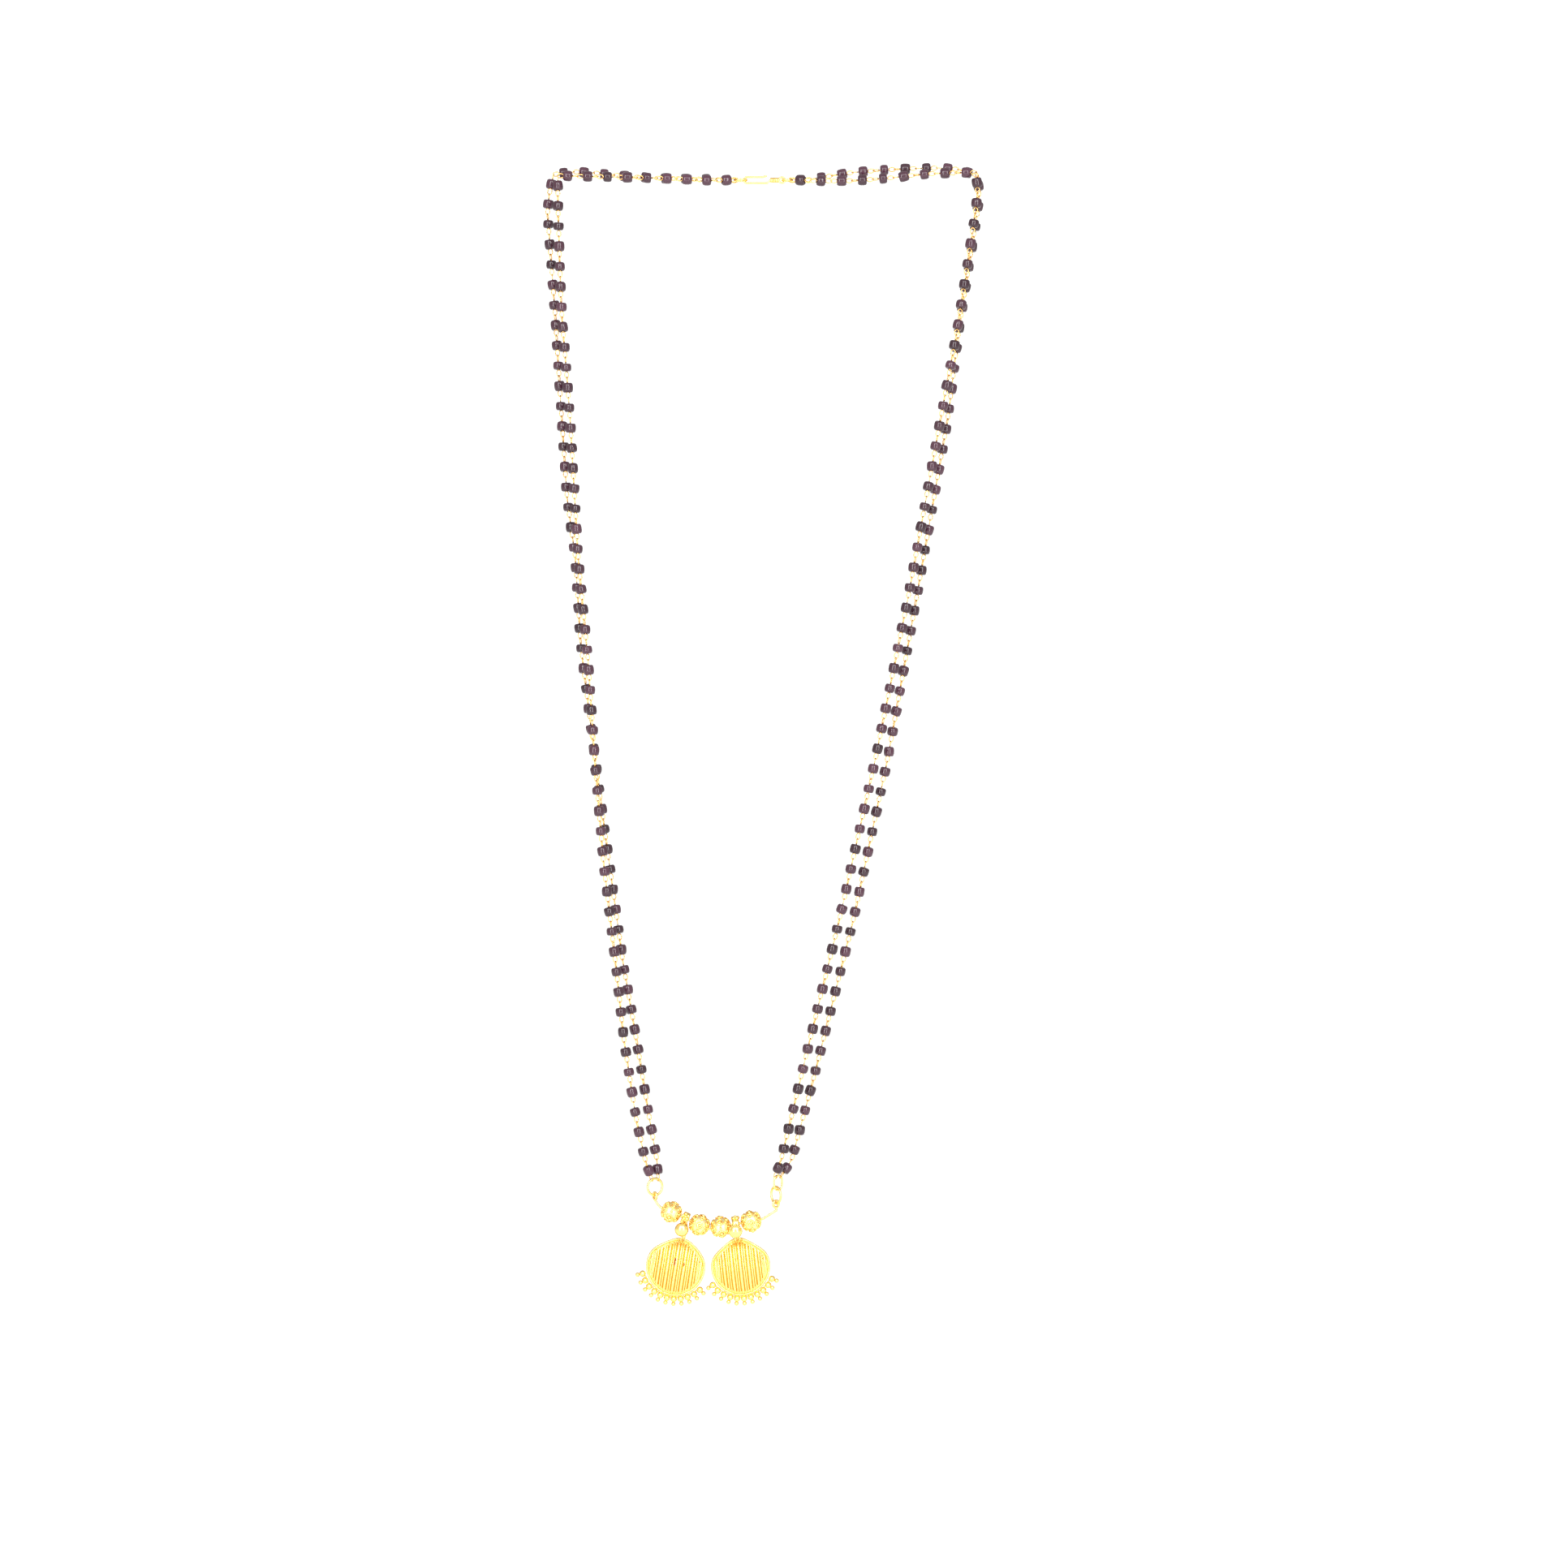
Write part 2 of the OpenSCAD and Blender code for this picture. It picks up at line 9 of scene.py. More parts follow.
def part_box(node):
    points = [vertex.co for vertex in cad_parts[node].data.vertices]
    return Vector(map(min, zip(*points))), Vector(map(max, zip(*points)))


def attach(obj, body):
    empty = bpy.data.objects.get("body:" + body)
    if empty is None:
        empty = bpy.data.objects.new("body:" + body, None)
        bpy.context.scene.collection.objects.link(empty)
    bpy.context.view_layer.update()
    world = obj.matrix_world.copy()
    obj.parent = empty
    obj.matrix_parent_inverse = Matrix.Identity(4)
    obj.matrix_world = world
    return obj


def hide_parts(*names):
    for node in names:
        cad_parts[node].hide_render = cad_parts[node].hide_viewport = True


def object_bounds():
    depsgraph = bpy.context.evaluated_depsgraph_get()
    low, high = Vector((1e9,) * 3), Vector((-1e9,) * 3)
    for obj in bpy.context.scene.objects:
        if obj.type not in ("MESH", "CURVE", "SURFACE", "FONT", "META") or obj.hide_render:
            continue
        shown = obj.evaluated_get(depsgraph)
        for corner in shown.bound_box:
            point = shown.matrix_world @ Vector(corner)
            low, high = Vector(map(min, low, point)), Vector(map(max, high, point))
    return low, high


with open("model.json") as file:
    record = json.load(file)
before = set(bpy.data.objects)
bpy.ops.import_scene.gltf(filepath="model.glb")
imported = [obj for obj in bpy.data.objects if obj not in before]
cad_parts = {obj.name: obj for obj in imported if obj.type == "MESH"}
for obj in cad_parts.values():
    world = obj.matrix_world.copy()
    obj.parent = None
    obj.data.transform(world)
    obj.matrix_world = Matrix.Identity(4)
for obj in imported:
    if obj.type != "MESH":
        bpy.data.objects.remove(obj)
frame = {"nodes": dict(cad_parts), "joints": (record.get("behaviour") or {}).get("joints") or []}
cad_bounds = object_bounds()
MM = 0.001

# Camera. The necklace is seen straight from the front as it hangs, through a long lens.
# One pixel of the photograph is 0.24 mm at the necklace, and the clasp's middle is at clasp_pixel.
pixel = 0.24 * MM
photo_side = 1932
clasp_pixel = (942, 222)
lens, sensor = 90, 36
camera_data = bpy.data.cameras.new("camera")
camera_data.lens = lens
camera_data.sensor_width = sensor
camera = bpy.data.objects.new("camera", camera_data)
camera.location = (
    (photo_side / 2 - clasp_pixel[0]) * pixel,
    -photo_side * pixel * lens / sensor,
    (clasp_pixel[1] - photo_side / 2) * pixel,
)
camera.rotation_euler = (math.pi / 2, 0, 0)
bpy.context.scene.collection.objects.link(camera)
bpy.context.scene.camera = camera

# Black beads. Short barrels of black glass, cut from drawn cane and tumbled until their edges are
# round. Nine lie on each top stretch of a strand and fifty hang down its side, threaded one to a
# link of wire, and each sits a little askew and turned as it likes.
bead_width = 3.2 * MM
bead_length = 2.7 * MM
bead_sides = 14
bead_askew = 8
top_beads = 9
side_beads = 50
# Sizes of the beads in their order along a strand, as shares of bead_length and of bead_width
bead_mix = [(1, 1), (0.92, 1), (1.04, 0.97), (0.96, 1), (0.84, 0.98), (1.06, 1), (0.9, 0.95)]
# Half of a bead's outline from the hole to the middle, as shares of its radius and half length
bead_outline = [(0.29, 0.84), (0.45, 0.97), (0.74, 1), (0.93, 0.78), (1, 0.32)]

# The rings that the strands end on: radius of the wire's middle line, and the wire's thickness
catch_ring = (1.75 * MM, 0.6 * MM)
keep_ring = (1.45 * MM, 0.6 * MM)
left_ring = (2.45 * MM, 0.7 * MM)
right_link = (1.4 * MM, 0.6 * MM)
right_link_half = 0.75 * MM
# Half the angle in degrees between the two wires on each ring, and how far the lower rings turn
catch_spread, keep_spread, left_spread, link_spread = 44, 52, 26, 45
left_ring_turn, link_turn = 30, 35
across, deep, upright = Vector((1, 0, 0)), Vector((0, 1, 0)), Vector((0, 0, 1))


def centre_of(node):
    low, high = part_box(node)
    return (low + high) / 2


def level(angle):
    """Level direction at an angle in degrees from +X."""
    return Vector((math.cos(math.radians(angle)), math.sin(math.radians(angle)), 0))


def on_ring(middle, ring, first, second, angle):
    """Place on a ring's wire, the wire's direction there and its thickness."""
    radius, wire = ring
    c, s = math.cos(math.radians(angle)), math.sin(math.radians(angle))
    return middle + radius * (c * first + s * second), c * second - s * first, wire


catch_middle, keep_middle = centre_of("ring_catch"), centre_of("ring_keep")
ring_middle = centre_of("ring_left")
link_bow = centre_of("link_right") + right_link_half * upright

# Each strand: points of its route in millimetres from the clasp to the corner, then down its side,
# and where its first and last wires go round their rings
routes = {
    "left_front": (
        [(-15, -2.5, -0.6), (-28, -2, 0.2), (-44, -2, 0.6), (-61, -2, 1)],
        [
            (-61, -2, -8), (-60, -2, -38), (-57.5, -2, -69), (-55, -2, -112), (-52, -2, -143),
            (-50, -2, -173), (-47.5, -2, -202), (-44, -2, -231), (-41.5, -2, -254),
            (-38, -1.8, -277), (-34.8, -1.8, -291.5),
        ],
        on_ring(catch_middle, catch_ring, across, deep, 180 + catch_spread),
        on_ring(ring_middle, left_ring, level(left_ring_turn), upright, 90 + left_spread),
    ),
    "left_back": (
        [(-15, 2.5, 0.6), (-35, 2, 1), (-47, 2, 2), (-55, 2, 3), (-62.5, 2, 2)],
        [
            (-64.5, 2, -7), (-63.5, 2, -20), (-62, 2, -40), (-60.5, 2, -64), (-58.5, 2, -94),
            (-56, 2, -112), (-54.5, 2, -137), (-51.5, 2, -161), (-48.5, 2, -184), (-46, 2, -202),
            (-42, 2, -231), (-38, 2, -254), (-34.2, 1.8, -277), (-31.6, 1.8, -291.5),
        ],
        on_ring(catch_middle, catch_ring, across, deep, 180 - catch_spread),
        on_ring(ring_middle, left_ring, level(left_ring_turn), upright, 90 - left_spread),
    ),
    "right_front": (
        [(14, -2.5, -0.6), (24, -2, -0.6), (36, -2, 0.2), (48, -2, 1.6), (62.5, -2, 2)],
        [
            (63, -2, -5), (61, -2, -18), (57, -2, -44), (52.5, -2, -68), (42.5, -2, -123),
            (33, -2, -170), (22.5, -2, -217), (11.5, -2, -262), (4.8, -2, -290),
        ],
        on_ring(keep_middle, keep_ring, across, deep, -keep_spread),
        on_ring(link_bow, right_link, level(link_turn), upright, 90 + link_spread),
    ),
    "right_back": (
        [(14, 2.5, 0.6), (24, 2, 2.4), (36, 2, 3.4), (50, 2, 4), (59, 2, 3.4), (63.2, 2, 1.6)],
        [
            (63.6, 2, -6), (61.5, 2, -19), (57.5, 2, -44), (54.5, 2, -69), (45, 2, -123.5),
            (36.5, 2, -171), (26.5, 2, -218), (15, 2, -264), (8, 2, -290),
        ],
        on_ring(keep_middle, keep_ring, across, deep, keep_spread),
        on_ring(link_bow, right_link, level(link_turn), upright, 90 - link_spread),
    ),
}


def steps(points, count):
    """Points at equal steps along a polyline, with both its ends."""
    runs = [0]
    for a, b in zip(points, points[1:]):
        runs.append(runs[-1] + (b - a).length)
    made = []
    for i in range(count + 1):
        s = runs[-1] * i / count
        k = max(j for j in range(len(points) - 1) if runs[j] <= s + 1e-9)
        made.append(points[k].lerp(points[k + 1], (s - runs[k]) / (runs[k + 1] - runs[k])))
    return made


def guide(name, points, edges=(), **values):
    """Mesh of points and edges for a node tree to work on, with the named values that it reads."""
    mesh = bpy.data.meshes.new(name)
    mesh.from_pydata(points, edges, [])
    for label, row in values.items():
        if isinstance(row[0], (int, float)):
            mesh.attributes.new(label, "FLOAT", "POINT").data.foreach_set("value", row)
        else:
            flat = [c for vector in row for c in vector]
            mesh.attributes.new(label, "FLOAT_VECTOR", "POINT").data.foreach_set("vector", flat)
    return mesh


def add(tree, kind, inputs=None, **settings):
    """Adds a node with its settings; an input takes a value, an output or a node's first output."""
    node = tree.nodes.new(kind)
    for name, value in settings.items():
        setattr(node, name, value)
    for name, value in (inputs or {}).items():
        if isinstance(value, bpy.types.Node):
            value = value.outputs[0]
        if isinstance(value, bpy.types.NodeSocket):
            tree.links.new(value, node.inputs[name])
        else:
            node.inputs[name].default_value = value
    return node


def read(tree, label, kind="FLOAT"):
    """Node that reads a named value from the guide's points."""
    return add(tree, "GeometryNodeInputNamedAttribute", {"Name": label}, data_type=kind)


def new_tree(name, **sizes):
    """Geometry Nodes tree whose inputs are a geometry, a material and the named sizes."""
    tree = bpy.data.node_groups.new(name, "GeometryNodeTree")
    tree.interface.new_socket("Geometry", in_out="OUTPUT", socket_type="NodeSocketGeometry")
    for label, kind in {"Geometry": "Geometry", "Material": "Material", **sizes}.items():
        tree.interface.new_socket(label, in_out="INPUT", socket_type="NodeSocket" + kind)
    return tree, tree.nodes.new("NodeGroupInput").outputs


def finish_tree(tree, geometry, material):
    """Ends a tree with its instances made real and its material set."""
    real = add(tree, "GeometryNodeRealizeInstances", {"Geometry": geometry})
    painted = add(tree, "GeometryNodeSetMaterial", {"Geometry": real, "Material": material})
    tree.links.new(painted.outputs[0], tree.nodes.new("NodeGroupOutput").inputs[0])
    return tree


def new_object(name, mesh):
    made = bpy.data.objects.new(name, mesh)
    bpy.context.scene.collection.objects.link(made)
    return made


def grown(name, mesh, tree, **values):
    """Runs a tree on a guide and keeps what it makes as a plain mesh in an object at the origin."""
    source = new_object(name + "_guide", mesh)
    modifier = source.modifiers.new(tree.name, "NODES")
    modifier.node_group = tree
    for item in tree.interface.items_tree:
        if item.in_out == "INPUT" and item.name in values:
            modifier[item.identifier] = values[item.name]
    evaluated = source.evaluated_get(bpy.context.evaluated_depsgraph_get())
    made = new_object(name, bpy.data.meshes.new_from_object(evaluated))
    bpy.data.objects.remove(source)
    return made


def worn(piece, body, node):
    """Hands a finished piece to its body, in place of its CAD node, which it hides."""
    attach(piece, body)
    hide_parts(node)


def linear(hex_colour):
    """sRGB hex colour as the linear colour that sockets take."""
    parts = [int(hex_colour[i:i + 2], 16) / 255 for i in (1, 3, 5)]
    return [c / 12.92 if c <= 0.04045 else ((c + 0.055) / 1.055) ** 2.4 for c in parts] + [1]


def new_material(name, **surface):
    """Material with plain values on its shader. Gives it, its tree, its shader and coordinates."""
    made = bpy.data.materials.new(name)
    made.use_nodes = True
    tree = made.node_tree
    shader = tree.nodes["Principled BSDF"]
    for socket, value in surface.items():
        shader.inputs[socket.replace("_", " ")].default_value = value
    return made, tree, shader, add(tree, "ShaderNodeTexCoord").outputs["Object"]


def two_tones(tree, share, first, second):
    """Output that runs from one sRGB hex colour to another with a share."""
    tones = {0: share, 6: linear(first), 7: linear(second)}
    return add(tree, "ShaderNodeMix", tones, data_type="RGBA").outputs[2]


def patches(tree, place, width, detail):
    """Noise in patches of about the given width."""
    sizes = {"Vector": place, "Scale": 1 / width, "Detail": detail}
    return add(tree, "ShaderNodeTexNoise", sizes)


def black_cane_glass():
    """Black glass cane, tumbled: glossy over a plum black that differs a little between beads."""
    made, tree, shader, place = new_material("black_cane_glass", IOR=1.5)
    tint = add(tree, "ShaderNodeAttribute", attribute_name="tint").outputs["Fac"]
    colour = two_tones(tree, tint, "#29151e", "#442634")
    # Tumbling leaves patches about 0.7 mm wide that shine a little less and dip a little
    wear = patches(tree, place, 0.7 * MM, detail=2)
    gloss = add(tree, "ShaderNodeMapRange", {"Value": wear, "To Min": 0.08, "To Max": 0.2})
    skin = add(tree, "ShaderNodeBump", {"Height": wear, "Distance": 0.04 * MM, "Strength": 0.5})
    tree.links.new(colour, shader.inputs["Base Color"])
    tree.links.new(gloss.outputs[0], shader.inputs["Roughness"])
    tree.links.new(skin.outputs[0], shader.inputs["Normal"])
    return made


def skin_between(work, rows):
    """Faces between rows of points that each run once round; a row may be one point."""
    for one, two in zip(rows, rows[1:]):
        for k in range(max(len(one), len(two))):
            n = k + 1
            corners = one[k % len(one)], two[k % len(two)], two[n % len(two)], one[n % len(one)]
            corners = list(dict.fromkeys(corners))
            if len(corners) > 2:
                work.faces.new(corners).smooth = True


def mesh_object(name, work):
    """Object with the mesh that has been worked on."""
    mesh = bpy.data.meshes.new(name)
    work.to_mesh(mesh)
    work.free()
    return new_object(name, mesh)


def bead_pattern():
    """One bead of unit width and length, with round shoulders and a hole."""
    outline = bead_outline + [(r, -h) for r, h in reversed(bead_outline)]
    turns = [2 * math.pi * k / bead_sides for k in range(bead_sides)]
    work = bmesh.new()
    rows = []
    for r, h in outline:
        points = [(r / 2 * math.cos(a), r / 2 * math.sin(a), h / 2) for a in turns]
        rows.append([work.verts.new(point) for point in points])
    skin_between(work, rows + rows[:1])
    return mesh_object("bead_pattern", work)


def bead_tree():
    """A bead on each point, its axis along the wire, turned at random and set a little askew."""
    tree, given = new_tree("beads_on_a_strand", Bead="Object", Askew="Float", Seed="Int")
    facing = add(tree, "FunctionNodeAlignRotationToVector", {
        "Vector": read(tree, "along", "FLOAT_VECTOR"),
    }, axis="Z")
    low, high = [
        add(tree, "ShaderNodeVectorMath", {0: way, "Scale": given["Askew"]}, operation="SCALE")
        for way in ((-1, -1, 0), (1, 1, 0))
    ]
    # Up to a full turn about the bead's own axis, and only a little across it
    spun = add(tree, "ShaderNodeVectorMath", {0: high, 1: (0, 0, 2 * math.pi)}, operation="ADD")
    chance = add(tree, "FunctionNodeRandomValue", {
        0: low, 1: spun, "Seed": given["Seed"],
    }, data_type="FLOAT_VECTOR")
    askew = add(tree, "FunctionNodeEulerToRotation", {0: chance})
    turn = add(tree, "FunctionNodeRotateRotation", {
        "Rotation": facing, "Rotate By": askew,
    }, rotation_space="LOCAL")
    one_bead = add(tree, "GeometryNodeObjectInfo", {"Object": given["Bead"]}).outputs["Geometry"]
    beads = add(tree, "GeometryNodeInstanceOnPoints", {
        "Points": given["Geometry"], "Instance": one_bead,
        "Rotation": turn, "Scale": read(tree, "size", "FLOAT_VECTOR"),
    })
    shade = add(tree, "FunctionNodeRandomValue", {
        2: 0.0, 3: 1.0, "Seed": given["Seed"],
    }, data_type="FLOAT")
    tinted = add(tree, "GeometryNodeStoreNamedAttribute", {
        "Geometry": beads, "Name": "tint", "Value": shade.outputs[1],
    }, data_type="FLOAT", domain="INSTANCE")
    return finish_tree(tree, tinted, given["Material"])


glass, pattern, beads_on_a_strand = black_cane_glass(), bead_pattern(), bead_tree()
strands = {}
for seed, (side, (top, down, start, end)) in enumerate(routes.items()):
    top = [start[0]] + [Vector(p) * MM for p in top]
    down = [top[-1]] + [Vector(p) * MM for p in down] + [end[0]]
    joints = steps(top, top_beads) + steps(down, side_beads)[1:]
    strands[side] = (joints, start, end)
    links = list(zip(joints, joints[1:]))
    sizes = [(wide * bead_width, wide * bead_width, long * bead_length) for long, wide in bead_mix]
    middles = guide(
        "middles_" + side, [(a + b) / 2 for a, b in links], along=[b - a for a, b in links],
        size=[sizes[i % len(sizes)] for i in range(len(links))],
    )
    beads = grown(
        "glass_beads_" + side, middles, beads_on_a_strand,
        Material=glass, Bead=pattern, Askew=math.radians(bead_askew), Seed=seed,
    )
    worn(beads, "chain", "beads_" + side)
bpy.data.objects.remove(pattern)

# Looped wires. A short length of gilt wire runs through each bead and is bent into an oval eye at
# both ends, and each eye hooks into its neighbour's. The upper eye of a link stands edge on to the
# front and the lower one lies open. The first and last eyes of a strand go round its rings.
wire_thick = 0.33 * MM
wire_sides = 6
eye_long = 1.9 * MM
eye_wide = 1.25 * MM
eye_points = 12
# Most that an eye is twisted out of its place, in degrees
eye_twist = 24
# Colour of gold at a grazing angle
gold_at_edge = "#ffc46a"


def gilt_wire(name, bright, warm):
    """Drawn brass wire, plated gold: close to a mirror, and warmer where the plating is thin."""
    made, tree, shader, place = new_material(
        name, Metallic=1, Specular_Tint=linear(gold_at_edge)
    )
    # Thin stretches of plating about 2 mm long
    colour = two_tones(tree, patches(tree, place, 2 * MM, detail=3), bright, warm)
    # Drawing marks, made 0.15 mm apart so that they show
    marks = patches(tree, place, 0.15 * MM, detail=1)
    gloss = add(tree, "ShaderNodeMapRange", {"Value": marks, "To Min": 0.16, "To Max": 0.34})
    tree.links.new(colour, shader.inputs["Base Color"])
    tree.links.new(gloss.outputs[0], shader.inputs["Roughness"])
    return made


def times(tree, value, factor):
    """Node that multiplies a number."""
    return add(tree, "ShaderNodeMath", {0: value, 1: factor}, operation="MULTIPLY")


def link_tree():
    """A straight shank on each edge, and on each point an oval eye reaching out along the wire."""
    tree, given = new_tree(
        "looped_wires", Wire="Float", Length="Float", Width="Float", Twist="Float", Seed="Int"
    )
    section = add(tree, "GeometryNodeCurvePrimitiveCircle", {
        "Resolution": wire_sides, "Radius": times(tree, given["Wire"], 0.5),
    })
    line = add(tree, "GeometryNodeMeshToCurve", {"Mesh": given["Geometry"]})
    shanks = add(tree, "GeometryNodeCurveToMesh", {
        "Curve": line, "Profile Curve": section, "Fill Caps": True,
    })
    circle = add(tree, "GeometryNodeCurvePrimitiveCircle", {
        "Resolution": eye_points, "Radius": 0.5,
    })
    oval_size = add(tree, "ShaderNodeCombineXYZ", {
        "X": given["Width"], "Y": given["Length"], "Z": 1.0,
    })
    oval = add(tree, "GeometryNodeTransform", {"Geometry": circle, "Scale": oval_size})
    raised = add(tree, "ShaderNodeCombineXYZ", {"Z": times(tree, given["Length"], 0.5)})
    standing = add(tree, "GeometryNodeTransform", {
        "Geometry": oval, "Translation": raised, "Rotation": (math.pi / 2, 0, 0),
    })
    eye = add(tree, "GeometryNodeCurveToMesh", {"Curve": standing, "Profile Curve": section})
    aim = add(tree, "FunctionNodeAxesToRotation", {
        "Primary Axis": read(tree, "along", "FLOAT_VECTOR"),
        "Secondary Axis": read(tree, "facing", "FLOAT_VECTOR"),
    }, primary_axis="Z", secondary_axis="Y")
    chance = add(tree, "FunctionNodeRandomValue", {
        2: times(tree, given["Twist"], -1.0), 3: given["Twist"], "Seed": given["Seed"],
    }, data_type="FLOAT")
    euler = add(tree, "ShaderNodeCombineXYZ", {"Z": chance.outputs[1]})
    twist = add(tree, "FunctionNodeEulerToRotation", {0: euler})
    turn = add(tree, "FunctionNodeRotateRotation", {
        "Rotation": aim, "Rotate By": twist,
    }, rotation_space="LOCAL")
    size = add(tree, "ShaderNodeCombineXYZ", {"X": 1.0, "Y": 1.0, "Z": read(tree, "stretch")})
    eyes = add(tree, "GeometryNodeInstanceOnPoints", {
        "Points": given["Geometry"], "Instance": eye, "Rotation": turn, "Scale": size,
    })
    both = add(tree, "GeometryNodeJoinGeometry", {0: shanks})
    tree.links.new(eyes.outputs[0], both.inputs[0])
    smooth = add(tree, "GeometryNodeSetShadeSmooth", {"Geometry": both})
    return finish_tree(tree, smooth, given["Material"])


rubbed_gilt, looped_wires = gilt_wire("rubbed_gilt_wire", "#ffdf9c", "#e6a04c"), link_tree()
for seed, (side, (joints, start, end)) in enumerate(strands.items()):
    points, along, facing, stretch = [], [], [], []
    for a, b in zip(joints, joints[1:]):
        way = (b - a).normalized()
        ends = [
            (a, -way, start if a is joints[0] else None, across),
            (b, way, end if b is joints[-1] else None, deep),
        ]
        # An eye's bow lies half a wire past the joint, and round a ring's wire where it holds one
        for joint, out, ring, open_way in ends:
            grip = ring[2] / 2 if ring else 0
            bow = joint + out * (wire_thick / 2 + grip)
            points.append(bow - out * (eye_long + grip))
            along.append(out)
            facing.append(ring[1] if ring else open_way)
            stretch.append((eye_long + grip) / eye_long)
    edges = [(i, i + 1) for i in range(0, len(points), 2)]
    shanks = guide("shanks_" + side, points, edges, along=along, facing=facing, stretch=stretch)
    linked = grown(
        "looped_wires_" + side, shanks, looped_wires, Material=rubbed_gilt, Wire=wire_thick,
        Length=eye_long, Width=eye_wide, Twist=math.radians(eye_twist), Seed=seed,
    )
    worn(linked, "chain", "wire_" + side)

# Clasp, end rings and carrying wire. Gilt wire bent to shape and soldered shut: two rings and a
# hook at the nape, a ring and an oval link with its ring at the feet of the strands, and the stiff
# wire on which the balls and the pendants are threaded.
gilt = gilt_wire("bright_gilt_wire", "#ffeaa4", "#fdd074")
cad_pieces = [
    "ring_catch", "ring_keep", "clasp_hook", "ring_left", "link_right", "ring_right", "carry_wire",
]
for node in cad_pieces:
    slots = frame["nodes"][node].data.materials
    slots.clear()
    slots.append(gilt)

# Gold balls. Hollow balls of thin sheet with coils of fine wire soldered on: five broad ones round
# the middle and five small ones towards each hole. A grain sits in each coil and more fill the
# gaps, and a collar of wire lines each hole.
ball_diameter = 6.4 * MM
ball_hole = 1 * MM
ball_rows = 18
coil_wire = 0.42 * MM
coil_turns = 1.25
coil_steps = 28
coils_round = 5
broad_coil, broad_coil_grain = 2.8 * MM, 1.0 * MM
small_coil, small_coil_grain = 2.0 * MM, 0.7 * MM
gap_grain = 0.8 * MM
end_grain = 0.6 * MM
collar_points = 16
# How far the coils' middle line stands off the sheet, in thicknesses of their wire
coil_lift = 0.35
# Degrees from the ball's middle to its small coils, the gaps between them and the last grains
small_coil_latitude, gap_latitude, end_latitude = 48, 37, 71
slope_left, slope_right = -24, 11
# Slope of the wire that each ball is on, and the ball's turn round it
ball_turns = {
    "ball_1": (slope_left, 10), "ball_2": (slope_left, 50),
    "ball_3": (slope_right, 20), "ball_4": (slope_right, -15),
}


def gold_finish(name, bright, deep_tone, cloud, roughness, relief):
    """Gold-plated solder work: two tones in clouds of a given width, and a satin grain."""
    made, tree, shader, place = new_material(
        name, Metallic=1, Specular_Tint=linear(gold_at_edge)
    )
    colour = two_tones(tree, patches(tree, place, cloud, detail=3), bright, deep_tone)
    # The satin grain is far finer, and is made 0.25 mm wide so that it shows
    grain = patches(tree, place, 0.25 * MM, detail=3)
    least, most = roughness
    gloss = add(tree, "ShaderNodeMapRange", {"Value": grain, "To Min": least, "To Max": most})
    skin = add(tree, "ShaderNodeBump", {"Height": grain, "Distance": relief, "Strength": 0.6})
    tree.links.new(colour, shader.inputs["Base Color"])
    tree.links.new(gloss.outputs[0], shader.inputs["Roughness"])
    tree.links.new(skin.outputs[0], shader.inputs["Normal"])
    return made


def wire_tree():
    """Round wire along chains of edges, its thickness read from the points, with closed ends."""
    tree, given = new_tree("wire_along_paths", Sides="Int")
    line = add(tree, "GeometryNodeMeshToCurve", {"Mesh": given["Geometry"]})
    section = add(tree, "GeometryNodeCurvePrimitiveCircle", {
        "Resolution": given["Sides"], "Radius": 1.0,
    })
    tube = add(tree, "GeometryNodeCurveToMesh", {
        "Curve": line, "Profile Curve": section, "Scale": read(tree, "half_thick"),
        "Fill Caps": True,
    })
    smooth = add(tree, "GeometryNodeSetShadeSmooth", {"Geometry": tube})
    return finish_tree(tree, smooth, given["Material"])


def grain_tree():
    """Round grain on each point, its size read from the point."""
    tree, given = new_tree("grains_on_points", Segments="Int", Rings="Int")
    ball = add(tree, "GeometryNodeMeshUVSphere", {
        "Segments": given["Segments"], "Rings": given["Rings"], "Radius": 1.0,
    })
    smooth = add(tree, "GeometryNodeSetShadeSmooth", {"Geometry": ball})
    placed = add(tree, "GeometryNodeInstanceOnPoints", {
        "Points": given["Geometry"], "Instance": smooth, "Scale": read(tree, "half_thick"),
    })
    return finish_tree(tree, placed, given["Material"])


def wires(name, place, paths, sides, material):
    """Wires along paths, each given as its points, its thickness and whether it is closed."""
    points, edges, halves = [], [], []
    for path, thick, closed in paths:
        first = len(points)
        points += [place @ Vector(p) for p in path]
        halves += [thick / 2] * len(path)
        edges += [(first + i, first + i + 1) for i in range(len(path) - 1)]
        if closed:
            edges.append((len(points) - 1, first))
    mesh = guide(name, points, edges, half_thick=halves)
    return grown(name, mesh, wire_along_paths, Material=material, Sides=sides)


def grains(name, place, spots, segments, material):
    """Grains at spots, each given as its place and its diameter."""
    mesh = guide(name, [place @ Vector(p) for p, _ in spots], half_thick=[d / 2 for _, d in spots])
    return grown(
        name, mesh, grains_on_points, Material=material, Segments=segments, Rings=segments // 2 + 1
    )


def closed_solid(name, place, work, material):
    """Object at the origin from a closed mesh, its faces outwards and its place in the mesh."""
    bmesh.ops.recalc_face_normals(work, faces=work.faces)
    work.transform(place)
    made = mesh_object(name, work)
    made.data.materials.append(material)
    return made


def turned(name, place, section, sides, material):
    """Solid turned round Z. Its (radius, height) points end on the axis, or close on themselves."""
    work = bmesh.new()
    rows = []
    for r, h in section:
        turns = [2 * math.pi * k / sides for k in range(sides)] if r > 0 else [0]
        rows.append([work.verts.new((r * math.cos(a), r * math.sin(a), h)) for a in turns])
    skin_between(work, rows + rows[:1] if section[0][0] > 0 else rows)
    return closed_solid(name, place, work, material)


